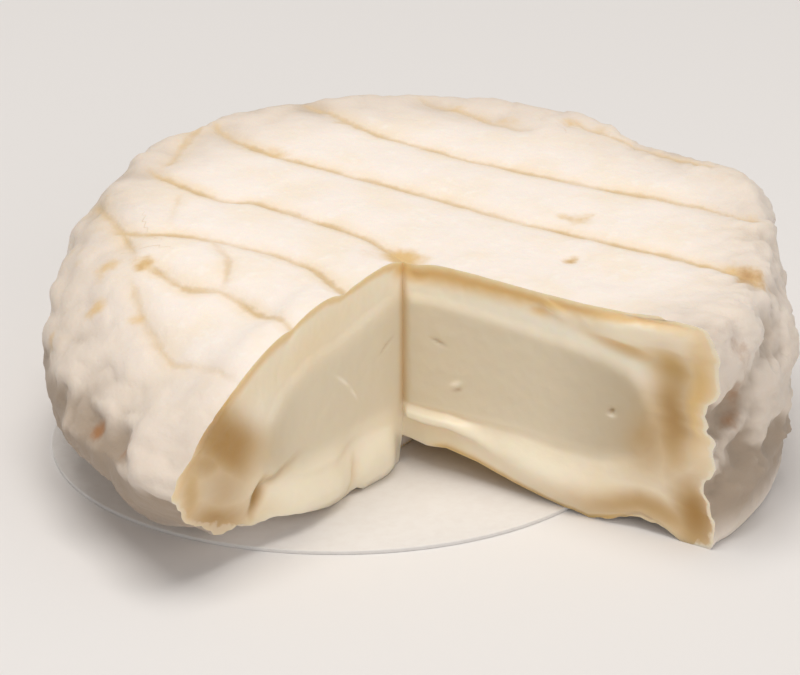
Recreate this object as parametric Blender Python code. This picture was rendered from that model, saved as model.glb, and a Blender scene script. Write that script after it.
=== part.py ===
"""Pelardon: a small soft goat's-milk cheese with one wedge cut out, on its round of card.

The wheel is a sphere of vertices drawn over a profile that changes round the rim: crisp
and upright at the back and right, sunk and sagging towards the left-hand cut.  The rack's
wires have printed shallow grooves across the top.  The cut shows a firm heart inside the
ripe outer paste.  The heart and the card are pieces of their own, a hair clear of the rest.

Lengths are in metres, +Z is up, and the notch opens towards -Y.
"""

import math

import bmesh
import bpy
import numpy as np
from mathutils import Vector, noise

MM = 0.001

# The wheel, measured without its notch.
WHEEL_HALF_WIDTH = 35.9 * MM
WHEEL_HALF_DEPTH = 38.0 * MM
APEX_HEIGHT = 21.6 * MM          # of the top, above the table, where the two cuts meet
TOP_RISE = 0.030                 # the top climbs this much for each metre towards the back
WHEEL_Y = -2.96 * MM             # puts the middle of the finished cheese on the origin

# The two cuts meet in an upright edge, in front of the middle of the wheel.
APEX = Vector((-1.6 * MM, -4.1 * MM))    # from the middle of the wheel
LEFT_CUT = math.radians(-126)
RIGHT_CUT = math.radians(-33)
CUT_REACH = 60 * MM

# The profile of a crisp side, and of one that has fully sunk, as shares of the
# radius and of the height.
CRISP = {"shelf": 0.91, "shoulder": 0.50, "waist": 0.47, "foot": 0.95, "tuck": 0.8}
SUNK = {"shelf": 0.20, "shoulder": 1.50, "waist": 0.49, "foot": 0.60, "tuck": 1.35}
# Other shapes that it keeps in places: direction, width and the same shares.
LOCAL_SHAPES = (
    (
        math.radians(-18),
        math.radians(16),
        {"shelf": 0.86, "shoulder": 0.70, "waist": 0.46, "foot": 0.95, "tuck": 0.75},
    ),
    (
        math.radians(-41),
        math.radians(10),
        {"shelf": 0.955, "shoulder": 0.50, "waist": 0.45, "foot": 0.985, "tuck": 0.6},
    ),
    (
        math.radians(-128),
        math.radians(10),
        {"shelf": 0.45, "shoulder": 1.80, "waist": 0.47, "foot": 0.25, "tuck": 1.08},
    ),
    (
        math.radians(-138),
        math.radians(6),
        {"shelf": 0.30, "shoulder": 1.60, "waist": 0.48, "foot": 0.60, "tuck": 0.96},
    ),
)
TOP_SINK_REACH = math.radians(95)    # how far round from the left cut the sunk top fades out
UNDERCUT_REACH = math.radians(140)   # and the same for the undercut foot

# The top swells a little at the corner of the right-hand cut.
CORNER_RISE = 1.0 * MM
CORNER_PLACE = Vector((25.0 * MM, -21.0 * MM))
CORNER_REACH = 7.5 * MM

# Swellings and dents of the outline: where, how wide, and how much of the radius.
OUTLINE_LOBES = (
    (math.radians(114), math.radians(14), 0.040),
    (math.radians(64), math.radians(8), -0.005),
    (math.radians(49), math.radians(8), -0.075),
    (math.radians(25), math.radians(9), 0.045),
    (math.radians(2), math.radians(13), -0.022),
    (math.radians(-160), math.radians(16), 0.012),
    (math.radians(-128), math.radians(12), 0.055),
    (math.radians(-46), math.radians(15), -0.047),
)

# Folds of the rind on the side, and the share of the radius over which they set in.
FOLD_DEPTH = 0.70 * MM
FOLD_SIZE = 7.5 * MM
FOLD_UPWARD = 0.3                # how much of each fold also goes upward
FOLD_CALM = 4 * MM               # height over which they fade out at the foot
SIDE_BEGINS = 0.633
SIDE_FULL = 0.967
SEED = 11.0

# Its single lumps and hollows: place from the middle of the wheel, radius and height.
LUMPS = (
    ((28.8 * MM, -20.7 * MM, 13.4 * MM), 2.2 * MM, -1.6 * MM),
    ((26.6 * MM, -22.7 * MM, 12.8 * MM), 1.5 * MM, -0.7 * MM),
    ((28.7 * MM, -20.9 * MM, 16.8 * MM), 1.7 * MM, 0.6 * MM),
    ((29.8 * MM, -19.6 * MM, 19.2 * MM), 1.3 * MM, -0.5 * MM),
    ((32.6 * MM, -12.5 * MM, 18.2 * MM), 2.4 * MM, -1.0 * MM),
    ((29.6 * MM, -18.6 * MM, 18.4 * MM), 2.6 * MM, 0.5 * MM),
    ((29.4 * MM, -20.4 * MM, 11.6 * MM), 1.8 * MM, 1.0 * MM),
    ((32.4 * MM, -16.0 * MM, 12.6 * MM), 2.2 * MM, 1.1 * MM),
    ((30.0 * MM, -19.4 * MM, 8.6 * MM), 2.0 * MM, -1.2 * MM),
    ((33.2 * MM, -13.8 * MM, 7.8 * MM), 2.3 * MM, -1.3 * MM),
    ((27.4 * MM, -22.4 * MM, 6.4 * MM), 1.7 * MM, -1.1 * MM),
    ((29.8 * MM, -20.0 * MM, 4.2 * MM), 2.8 * MM, 0.6 * MM),
    ((34.2 * MM, -9.6 * MM, 5.2 * MM), 3.0 * MM, 0.5 * MM),
    ((35.6 * MM, -8.0 * MM, 13.6 * MM), 2.4 * MM, 0.6 * MM),
    ((-32.5 * MM, -12.4 * MM, 13.9 * MM), 2.8 * MM, 0.8 * MM),
    ((-32.4 * MM, -9.6 * MM, 15.4 * MM), 1.8 * MM, -0.6 * MM),
    ((-33.4 * MM, -14.4 * MM, 11.2 * MM), 1.8 * MM, -0.7 * MM),
    ((-34.6 * MM, -5.6 * MM, 12.6 * MM), 2.4 * MM, -0.6 * MM),
    ((-27.9 * MM, -19.2 * MM, 13.6 * MM), 2.4 * MM, 0.7 * MM),
    ((-27.1 * MM, -23.9 * MM, 11.4 * MM), 1.7 * MM, -1.1 * MM),
    ((-25.0 * MM, -24.5 * MM, 13.4 * MM), 2.4 * MM, 0.5 * MM),
    ((-24.4 * MM, -28.0 * MM, 10.8 * MM), 2.0 * MM, 0.9 * MM),
    ((-30.2 * MM, -18.2 * MM, 8.4 * MM), 2.6 * MM, 0.6 * MM),
)

# Grooves left by the wires of the drying rack: where each begins, ends and bows
# sideways, from the middle of the wheel.
GROOVE_WIDTH_RADIUS = 1.25 * MM
GROOVE_DEPTH = 0.60 * MM
GROOVE_TAPER = 5 * MM            # over which a groove runs out at an end
GROOVE_TIP = 0.25                # how thin it gets there
GROOVE_STEP = 2.4 * MM
GROOVE_WANDER = 0.5 * MM
GROOVES = {
    "back_corner": ((14.6 * MM, 29.4 * MM), (29.0 * MM, 16.6 * MM), -2.4 * MM),
    "back": ((-1 * MM, 35.5 * MM), (13 * MM, 25.5 * MM), -0.6 * MM),
    "upper": ((-12.5 * MM, 33.5 * MM), (33.2 * MM, 4.0 * MM), -2.4 * MM),
    "middle": ((-20 * MM, 28 * MM), (32.2 * MM, -8.8 * MM), -2.4 * MM),
    "apex": ((-27 * MM, 17 * MM), (0.9 * MM, -6.5 * MM), 0.9 * MM),
    "lower": ((-30 * MM, 3.6 * MM), (-5.4 * MM, -13.4 * MM), 3.4 * MM),
    "shoulder": ((-24.4 * MM, -5.2 * MM), (-9.2 * MM, -21.2 * MM), 0.8 * MM),
}

# The firm heart, a flattened round block that lies off the middle.
HEART_CENTRE = Vector((2.6 * MM, 2.7 * MM))
HEART_RADIUS = 28.3 * MM
HEART_LOW = 6.1 * MM
HEART_HIGH = 17.9 * MM
HEART_SQUARENESS = 0.42          # 1 is an ellipsoid, and less is squarer at the edge
GAP = 0.3 * MM

# The ripe paste sags out of the cuts near the bottom.
LEFT_SAG = 0.9 * MM
RIGHT_SAG = 0.6 * MM
SAG_HEIGHT = 2.6 * MM
SAG_SPREAD = 2.6 * MM

# The underside lifts off the card in vaults beside the cuts: which cut, how far along it,
# and half the length, width and height.
VAULTS = (
    (RIGHT_CUT, 8.0 * MM, (9.5 * MM, 7.0 * MM, 3.3 * MM)),
    (RIGHT_CUT, 26.0 * MM, (3.6 * MM, 5.0 * MM, 1.5 * MM)),
    (LEFT_CUT, 20.5 * MM, (5.2 * MM, 4.0 * MM, 2.9 * MM)),
)

# The round of card.
CARD_CENTRE = Vector((-7.8 * MM, 1.2 * MM))
CARD_HALF_WIDTH = 27.7 * MM
CARD_HALF_DEPTH = 24.8 * MM
CARD_THICKNESS = 0.4 * MM

WHEEL_MESH = (112, 42)
HEART_MESH = (64, 20)


def material(name, colour, roughness):
    """A plain matt or satin surface of one colour."""
    made = bpy.data.materials.new(name)
    made.use_nodes = True
    shader = made.node_tree.nodes["Principled BSDF"]
    shader.inputs["Base Color"].default_value = (*colour, 1.0)
    shader.inputs["Roughness"].default_value = roughness
    shader.inputs["Metallic"].default_value = 0.0
    return made


def add_object(name, shape, collection, finish=None):
    """Turn a bmesh into an object of the given collection."""
    mesh = bpy.data.meshes.new(name)
    shape.to_mesh(mesh)
    shape.free()
    made = bpy.data.objects.new(name, mesh)
    collection.objects.link(made)
    if finish:
        mesh.materials.append(finish)
    return made


def turn_gap(angle, other):
    """The smallest angle between two directions."""
    return abs((angle - other + math.pi) % (2 * math.pi) - math.pi)


def ease(share):
    """Nought to one, with level ends."""
    share = min(max(share, 0.0), 1.0)
    return share * share * (3 - 2 * share)


def sinking(azimuth, reach):
    """How far the side has sunk: 1 at the left-hand cut, fading out round the back."""
    past_cut = (LEFT_CUT - azimuth) % (2 * math.pi)
    if past_cut > math.pi * 1.5:
        past_cut = 2 * math.pi - past_cut
        reach = RIGHT_CUT - LEFT_CUT
    return ease(1 - past_cut / reach)


def outline_radius(azimuth):
    """The wheel's outermost reach in one direction: an oval with swellings and dents."""
    across = WHEEL_HALF_DEPTH * math.cos(azimuth)
    along = WHEEL_HALF_WIDTH * math.sin(azimuth)
    radius = WHEEL_HALF_WIDTH * WHEEL_HALF_DEPTH / math.hypot(across, along)
    for where, width, amount in OUTLINE_LOBES:
        radius *= 1 + amount * math.exp(-(turn_gap(azimuth, where) / width) ** 2)
    return radius


def side_shape(azimuth):
    """The profile's five values in one direction."""
    shape = {}
    for key in CRISP:
        reach = UNDERCUT_REACH if key in ("foot", "tuck") else TOP_SINK_REACH
        shape[key] = CRISP[key] + (SUNK[key] - CRISP[key]) * sinking(azimuth, reach)
    for where, width, local in LOCAL_SHAPES:
        near = math.exp(-(turn_gap(azimuth, where) / width) ** 2)
        for key in shape:
            shape[key] += (local[key] - shape[key]) * near
    return shape


def top_level(x, y):
    """Height of the unsunk top over a point."""
    from_corner = (Vector((x, y)) - CORNER_PLACE).length
    swelling = CORNER_RISE * math.exp(-(from_corner / CORNER_REACH) ** 2)
    return APEX_HEIGHT + TOP_RISE * (y - APEX.y) + swelling


def surface_height(x, y):
    """Height of the top and shoulder over a point given from the middle of the wheel."""
    azimuth = math.atan2(y, x)
    shape = side_shape(azimuth)
    share = min(math.hypot(x, y) / outline_radius(azimuth), 1.0)
    level = top_level(x, y)
    past_shelf = max(share - shape["shelf"], 0.0) / (1 - shape["shelf"])
    rise = max(1 - past_shelf ** 2, 0.0) ** (shape["shoulder"] / 2)
    waist = shape["waist"] * APEX_HEIGHT
    return waist + (level - waist) * rise


def profile(azimuth, steps):
    """Evenly spaced points from the middle of the top, over the side, to the middle below."""
    shape = side_shape(azimuth)
    radius = outline_radius(azimuth)
    waist = shape["waist"] * APEX_HEIGHT
    quarter = np.linspace(0.0, math.pi / 2, 40)
    shoulder = shape["shelf"] + (1 - shape["shelf"]) * np.sin(quarter)
    reach = np.concatenate((np.linspace(0.0, shape["shelf"], 12)[:-1], shoulder)) * radius
    height = np.array([surface_height(r * math.cos(azimuth), r * math.sin(azimuth)) for r in reach])
    foot = shape["foot"] + (1 - shape["foot"]) * np.cos(quarter[1:])
    reach = np.concatenate((reach, foot * radius, [0.0]))
    height = np.concatenate((height, waist * (1 - np.sin(quarter[1:]) ** shape["tuck"]), [0.0]))
    travelled = np.concatenate(([0.0], np.cumsum(np.hypot(np.diff(reach), np.diff(height)))))
    stops = np.linspace(0.0, travelled[-1], steps + 1)
    return np.interp(stops, travelled, reach), np.interp(stops, travelled, height)


def relief(point, share):
    """How far the rind stands out at a point of the side, given its share of the radius."""
    spot = Vector((point.x, point.y, point.z * 1.6)) / FOLD_SIZE + Vector((SEED, 0, 0))
    folds = FOLD_DEPTH * (noise.noise(spot) + 0.5 * noise.noise(spot * 2.1))
    on_side = ease((share - SIDE_BEGINS) / (SIDE_FULL - SIDE_BEGINS)) * ease(point.z / FOLD_CALM)
    lumps = 0.0
    for place, radius, height in LUMPS:
        lumps += height * math.exp(-((point - Vector(place)).length / radius) ** 2)
    return folds * on_side + lumps


def wheel_mesh():
    """The whole wheel: a sphere whose rings are laid along the profile."""
    segments, rings = WHEEL_MESH
    shape = bmesh.new()
    bmesh.ops.create_uvsphere(shape, u_segments=segments, v_segments=rings, radius=1.0)
    profiles = {}
    for vert in shape.verts:
        azimuth = math.atan2(vert.co.y, vert.co.x)
        ring = round(math.acos(max(-1.0, min(1.0, vert.co.z))) / math.pi * rings)
        if ring in (0, rings):
            azimuth = 0.0
        key = round(azimuth, 4)
        if key not in profiles:
            profiles[key] = profile(azimuth, rings)
        reach, height = profiles[key][0][ring], profiles[key][1][ring]
        point = Vector((reach * math.cos(azimuth), reach * math.sin(azimuth), height))
        outward = Vector((math.cos(azimuth), math.sin(azimuth), FOLD_UPWARD))
        vert.co = point + outward * relief(point, reach / outline_radius(azimuth))
    bmesh.ops.triangulate(shape, faces=shape.faces[:])
    return shape


def heart_mesh(grow):
    """The firm heart: a sphere squared off towards a flat round block."""
    segments, rings = HEART_MESH
    shape = bmesh.new()
    bmesh.ops.create_uvsphere(shape, u_segments=segments, v_segments=rings, radius=1.0)
    half_height = (HEART_HIGH - HEART_LOW) / 2 + grow
    middle = (HEART_HIGH + HEART_LOW) / 2
    for vert in shape.verts:
        flat = math.hypot(vert.co.x, vert.co.y)
        swell = flat ** (HEART_SQUARENESS - 1) if flat > 0 else 0.0
        reach = (HEART_RADIUS + grow) * swell
        vert.co.x = HEART_CENTRE.x + vert.co.x * reach
        vert.co.y = HEART_CENTRE.y + vert.co.y * reach
        rise = abs(vert.co.z) ** (2 * HEART_SQUARENESS)
        vert.co.z = middle + math.copysign(rise, vert.co.z) * half_height
    return shape


def sag(height, amount):
    """How far the cut paste stands out of the plane of the knife at a height."""
    return amount * math.exp(-((height - SAG_HEIGHT) / SAG_SPREAD) ** 2)


def wedge_mesh():
    """The wedge that is cut away: a loft of triangles whose sides draw in near the bottom."""
    levels = [-5 * MM] + [step * MM for step in range(0, 9)] + [60 * MM]
    left = Vector((math.cos(LEFT_CUT), math.sin(LEFT_CUT)))
    right = Vector((math.cos(RIGHT_CUT), math.sin(RIGHT_CUT)))
    left_in = Vector((-left.y, left.x))
    right_in = Vector((right.y, -right.x))
    shape = bmesh.new()
    sections = []
    for level in levels:
        left_side = sag(level, LEFT_SAG)
        right_side = sag(level, RIGHT_SAG)
        start_left = APEX + left_in * left_side
        start_right = APEX + right_in * right_side
        crossing = left.x * right.y - left.y * right.x
        between = start_right - start_left
        along = (between.x * right.y - between.y * right.x) / crossing
        corner = start_left + left * along
        corners = (corner, start_left + left * CUT_REACH, start_right + right * CUT_REACH)
        sections.append([shape.verts.new((*spot, level)) for spot in corners])
    for lower, upper in zip(sections, sections[1:]):
        for here in range(3):
            there = (here + 1) % 3
            shape.faces.new((lower[here], lower[there], upper[there], upper[here]))
    shape.faces.new(reversed(sections[0]))
    shape.faces.new(sections[-1])
    bmesh.ops.triangulate(shape, faces=shape.faces[:])
    bmesh.ops.recalc_face_normals(shape, faces=shape.faces[:])
    return shape


def disc_mesh(half_width, half_depth, low, high, segments):
    """An upright oval disc."""
    shape = bmesh.new()
    bmesh.ops.create_cone(shape, cap_ends=True, segments=segments, radius1=1, radius2=1, depth=1)
    for vert in shape.verts:
        vert.co.x = CARD_CENTRE.x + vert.co.x * half_width
        vert.co.y = CARD_CENTRE.y + vert.co.y * half_depth
        vert.co.z = low if vert.co.z < 0 else high
    return shape


def vault_mesh(cut, reach, halves):
    """A low hollow under the cheese, with its length along a cut."""
    shape = bmesh.new()
    bmesh.ops.create_uvsphere(shape, u_segments=20, v_segments=12, radius=1.0)
    along = Vector((math.cos(cut), math.sin(cut)))
    across = Vector((-along.y, along.x))
    middle = APEX + along * reach
    for vert in shape.verts:
        flat = middle + along * vert.co.x * halves[0] + across * vert.co.y * halves[1]
        vert.co = Vector((flat.x, flat.y, vert.co.z * halves[2]))
    return shape


def groove_cutter(name, start, end, bow, collection):
    """A thin tube that lies in the top along one wire's print, as a closed mesh."""
    start, end = Vector(start), Vector(end)
    run = end - start
    side = Vector((-run.y, run.x)).normalized()
    steps = int(run.length / GROOVE_STEP)
    curve = bpy.data.curves.new(name, "CURVE")
    curve.dimensions = "3D"
    curve.bevel_depth = GROOVE_WIDTH_RADIUS
    curve.bevel_resolution = 2
    curve.use_fill_caps = True
    line = curve.splines.new("POLY")
    line.points.add(steps)
    for step, point in enumerate(line.points):
        share = step / steps
        spot = start + run * share + side * bow * math.sin(math.pi * share)
        spot += side * GROOVE_WANDER * noise.noise(Vector((share * 5, SEED, bow * 900)))
        to_end = min(share, 1 - share) * run.length
        point.radius = GROOVE_TIP + (1 - GROOVE_TIP) * ease(to_end / GROOVE_TAPER)
        height = surface_height(spot.x, spot.y)
        height += (GROOVE_WIDTH_RADIUS - GROOVE_DEPTH) * point.radius
        point.co = (spot.x, spot.y, height, 1.0)
    tube = bpy.data.objects.new(name, curve)
    collection.objects.link(tube)
    bpy.context.view_layer.update()
    mesh = bpy.data.meshes.new_from_object(tube.evaluated_get(bpy.context.evaluated_depsgraph_get()))
    bpy.data.objects.remove(tube)
    shape = bmesh.new()
    shape.from_mesh(mesh)
    bmesh.ops.remove_doubles(shape, verts=shape.verts[:], dist=0.01 * MM)
    bmesh.ops.recalc_face_normals(shape, faces=shape.faces[:])
    return add_object(name, shape, collection)


def hide_cutter(cutter):
    """Mark an object as one that only cuts."""
    cutter.hide_render = True
    cutter.display_type = "WIRE"


def subtract(target, cutter):
    """Cut one object out of another."""
    cut = target.modifiers.new(cutter.name, "BOOLEAN")
    cut.operation = "DIFFERENCE"
    cut.object = cutter
    cut.solver = "EXACT"


def build():
    """Make the cheese, its heart and its card."""
    for leftover in list(bpy.data.objects):
        bpy.data.objects.remove(leftover)
    cheese = bpy.data.collections.new("pelardon")
    cutters = bpy.data.collections.new("cutters")
    bpy.context.scene.collection.children.link(cheese)
    bpy.context.scene.collection.children.link(cutters)

    rind_and_paste = material("ripe paste and rind", (0.86, 0.78, 0.65), 0.55)
    firm_paste = material("firm paste", (0.93, 0.90, 0.80), 0.6)
    white_card = material("white card", (0.85, 0.83, 0.80), 0.7)

    wheel = add_object("ripe_paste_and_rind", wheel_mesh(), cheese, rind_and_paste)
    heart = add_object("firm_heart", heart_mesh(0.0), cheese, firm_paste)
    disc = disc_mesh(CARD_HALF_WIDTH, CARD_HALF_DEPTH, 0.0, CARD_THICKNESS, 72)
    add_object("card_round", disc, cheese, white_card)

    for name, (start, end, bow) in GROOVES.items():
        subtract(wheel, groove_cutter("groove_" + name, start, end, bow, cutters))
    cavity = add_object("heart_cavity", heart_mesh(GAP), cutters)
    recess = disc_mesh(
        CARD_HALF_WIDTH + GAP, CARD_HALF_DEPTH + GAP, -5 * MM, CARD_THICKNESS + GAP, 72
    )
    recess = add_object("card_recess", recess, cutters)
    vaults = []
    for number, placed in enumerate(VAULTS, 1):
        vaults.append(add_object("vault_%d" % number, vault_mesh(*placed), cutters))
    wedge = add_object("wedge", wedge_mesh(), cutters)
    for cutter in (cavity, recess, *vaults, wedge):
        subtract(wheel, cutter)
    subtract(heart, wedge)

    for cutter in cutters.objects:
        hide_cutter(cutter)
    for piece in (*cheese.objects, *cutters.objects):
        piece.location.y = WHEEL_Y
    for piece in (wheel, heart):
        piece.data.shade_smooth()
        piece.data.set_sharp_from_angle(angle=math.radians(27))


build()
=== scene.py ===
"""The look of a pelardon: a small goat's-milk cheese with one wedge cut out, on its card.

The cheese is one piece of soft paste in its rind, so it is modelled as one mesh: an upright
section is spun about the edge where the two cuts meet, and drawn over the same profile as
the solids.  The rack's prints, the folds of the rind and the sagging cut are then worked
into it, and the ripe, firm and browned zones of the paste are laid on it as attributes.

Lengths are in metres, or in millimetres where a comment says so, +Z is up, and the notch
opens towards -Y.
"""

import math

import bmesh
import bpy
import numpy as np
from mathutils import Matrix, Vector, noise


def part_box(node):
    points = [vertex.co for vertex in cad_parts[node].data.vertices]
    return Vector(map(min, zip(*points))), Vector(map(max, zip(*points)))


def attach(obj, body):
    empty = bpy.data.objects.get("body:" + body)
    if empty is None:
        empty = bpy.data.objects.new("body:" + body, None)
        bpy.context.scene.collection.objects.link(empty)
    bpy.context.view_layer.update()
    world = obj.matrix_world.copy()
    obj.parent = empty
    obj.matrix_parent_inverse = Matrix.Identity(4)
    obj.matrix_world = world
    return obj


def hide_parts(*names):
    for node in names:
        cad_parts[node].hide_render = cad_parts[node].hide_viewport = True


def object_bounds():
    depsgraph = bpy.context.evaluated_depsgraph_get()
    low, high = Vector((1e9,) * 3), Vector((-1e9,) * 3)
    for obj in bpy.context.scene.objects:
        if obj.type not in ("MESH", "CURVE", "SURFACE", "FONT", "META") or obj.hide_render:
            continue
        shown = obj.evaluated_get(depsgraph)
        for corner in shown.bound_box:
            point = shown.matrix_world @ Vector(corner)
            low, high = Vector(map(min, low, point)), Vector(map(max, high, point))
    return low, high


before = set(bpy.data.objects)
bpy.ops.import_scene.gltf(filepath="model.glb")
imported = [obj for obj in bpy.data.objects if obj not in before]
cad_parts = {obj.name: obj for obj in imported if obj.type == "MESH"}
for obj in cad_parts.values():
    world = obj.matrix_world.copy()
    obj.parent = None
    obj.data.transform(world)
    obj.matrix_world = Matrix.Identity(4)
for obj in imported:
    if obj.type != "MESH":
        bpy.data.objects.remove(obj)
cad_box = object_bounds()

MM = 0.001

# The wheel, as the solids have it.
WHEEL_CENTRE = np.array([0.0, -2.96 * MM])
WHEEL_HALF_WIDTH = 35.9 * MM
WHEEL_HALF_DEPTH = 38.0 * MM
APEX_HEIGHT = 21.6 * MM
TOP_RISE = 0.030
APEX = np.array([-1.6 * MM, -4.1 * MM])
LEFT_CUT = math.radians(-126)
RIGHT_CUT = math.radians(-33)

# The upright section in shares: how far out the top runs level, how roundly it turns down, the
# waist's height, how far out the foot lies flat, and how roundly it tucks in.
SECTION = ("shelf", "shoulder", "waist", "foot", "tuck")
CRISP = (0.91, 0.50, 0.47, 0.95, 0.8)
SUNK = (0.20, 1.50, 0.49, 0.60, 1.35)

# Where the section differs: direction and width in degrees, and its five values there.
LOCAL_SHAPES = (
    (-18, 16, (0.86, 0.70, 0.46, 0.95, 0.75)),
    (-41, 10, (0.955, 0.50, 0.45, 0.985, 0.6)),
    (-128, 10, (0.45, 1.80, 0.47, 0.25, 1.08)),
    (-138, 6, (0.30, 1.60, 0.48, 0.60, 0.96)),
)

# The top's right-hand corner stands a little higher.
CORNER_RISE = 1.0 * MM
CORNER_PLACE = np.array([25.0 * MM, -21.0 * MM])
CORNER_REACH = 7.5 * MM

# How far round from the left-hand cut the side has sunk.
TOP_SINK_REACH = math.radians(95)
UNDERCUT_REACH = math.radians(140)

# Where the outline swells or draws in: direction and width in degrees, and by what share.
OUTLINE_LOBES = (
    (114, 14, 0.040),
    (64, 8, -0.005),
    (49, 8, -0.075),
    (25, 9, 0.045),
    (2, 13, -0.022),
    (-160, 16, 0.012),
    (-128, 12, 0.055),
    (-46, 15, -0.047),
)

# Folds of the side, and the shares of the radius between which they come in.
FOLD_DEPTH = 0.70 * MM
FOLD_SIZE = 7.5 * MM
FOLD_UPRIGHT = 1.6
FOLD_FINER, FOLD_FINER_SHARE = 2.1, 0.5
FOLD_UPWARD = 0.3
FOLD_CALM = 4 * MM
SIDE_BEGINS = 0.633
SIDE_FULL = 0.967
SEED = 11.0

# Lumps and hollows of the rind, in millimetres: place from the middle of the wheel, radius
# and height.
LUMPS = (
    (28.8, -20.7, 13.4, 2.2, -1.6),
    (26.6, -22.7, 12.8, 1.5, -0.7),
    (28.7, -20.9, 16.8, 1.7, 0.6),
    (29.8, -19.6, 19.2, 1.3, -0.5),
    (32.6, -12.5, 18.2, 2.4, -1.0),
    (29.6, -18.6, 18.4, 2.6, 0.5),
    (29.4, -20.4, 11.6, 1.8, 1.0),
    (32.4, -16.0, 12.6, 2.2, 1.1),
    (30.0, -19.4, 8.6, 2.0, -1.2),
    (33.2, -13.8, 7.8, 2.3, -1.3),
    (27.4, -22.4, 6.4, 1.7, -1.1),
    (29.8, -20.0, 4.2, 2.8, 0.6),
    (34.2, -9.6, 5.2, 3.0, 0.5),
    (35.6, -8.0, 13.6, 2.4, 0.6),
    (-32.5, -12.4, 13.9, 2.8, 0.8),
    (-32.4, -9.6, 15.4, 1.8, -0.6),
    (-33.4, -14.4, 11.2, 1.8, -0.7),
    (-34.6, -5.6, 12.6, 2.4, -0.6),
    (-29.4, -20.3, 11.3, 1.1, -0.7),
    (-27.9, -19.2, 13.6, 2.4, 0.7),
    (-27.1, -23.9, 11.4, 1.7, -1.1),
    (-25.0, -24.5, 13.4, 2.4, 0.5),
    (-24.4, -28.0, 10.8, 2.0, 0.9),
    (-30.2, -18.2, 8.4, 2.6, 0.6),
    (-21.8, -26.5, 14.2, 2.2, -0.4),
    (-29.2, -15.6, 15.4, 2.6, -0.4),
)

# The cuts: the ripe paste sags over the card near the bottom.
SAG_HEIGHT = 2.6 * MM
SAG_SPREAD = 2.6 * MM
SAG_DEPTH = 4.0 * MM
SAGS = {"left": 0.9 * MM, "right": 0.6 * MM}
SAG_ENDS = 26 * MM
SAG_FADE = 4 * MM

# The foot lies on the card out to its edge and then comes down.  The lift dies out upwards.
CARD_LIFT = 0.45 * MM
CARD_EDGE, CARD_FADE = 1.01, 0.10
ARCH_LIP = 0.9 * MM
FOOT_HEIGHT = 9 * MM

# Arches of the underside beside each cut: how far in each reaches, and its height by
# millimetres from the apex.
ARCHES = {
    "right": (
        7.0 * MM, (-1.6, 0), (-1.0, 2.2), (0, 3.0), (3.0, 2.9), (5.3, 3.2), (8.7, 2.7),
        (13.1, 1.6), (17.6, 0.6), (20.8, 0), (23.5, 0.7), (26.2, 1.5), (28.3, 1.2), (31.2, 0),
    ),
    "left": (
        5.0 * MM, (6.6, 0), (8.5, 1.0), (10.2, 0.4), (13, 0.6), (16.3, 1.3), (19, 1.7),
        (21.6, 1.8), (23.4, 1.4), (25.3, 0.6), (27.6, 0),
    ),
}

# Outline of the firm heart on each cut, in millimetres: reach from the apex and height.
HEART_OUTLINES = {
    "right": (
        (-4, 18.0), (1.4, 18.1), (7.7, 17.8), (13.2, 17.5), (18.9, 17.0), (22.0, 16.6),
        (24.8, 15.9), (26.7, 14.4), (27.6, 12.4), (27.4, 9.6), (25.8, 7.6), (22, 6.6), (17.6, 6.4),
        (12.9, 6.6), (7.8, 6.1), (1.7, 5.7), (-4, 5.7),
    ),
    "left": (
        (-4, 18.2), (0.7, 18.2), (4.5, 17.6), (8.9, 16.9), (15.1, 16.1), (19.0, 14.6),
        (21.3, 12.1), (21.9, 9.0), (20.6, 6.2), (17, 5.0), (12.7, 5.0), (6.2, 6.0), (1, 5.4),
        (-4, 5.4),
    ),
}

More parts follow.
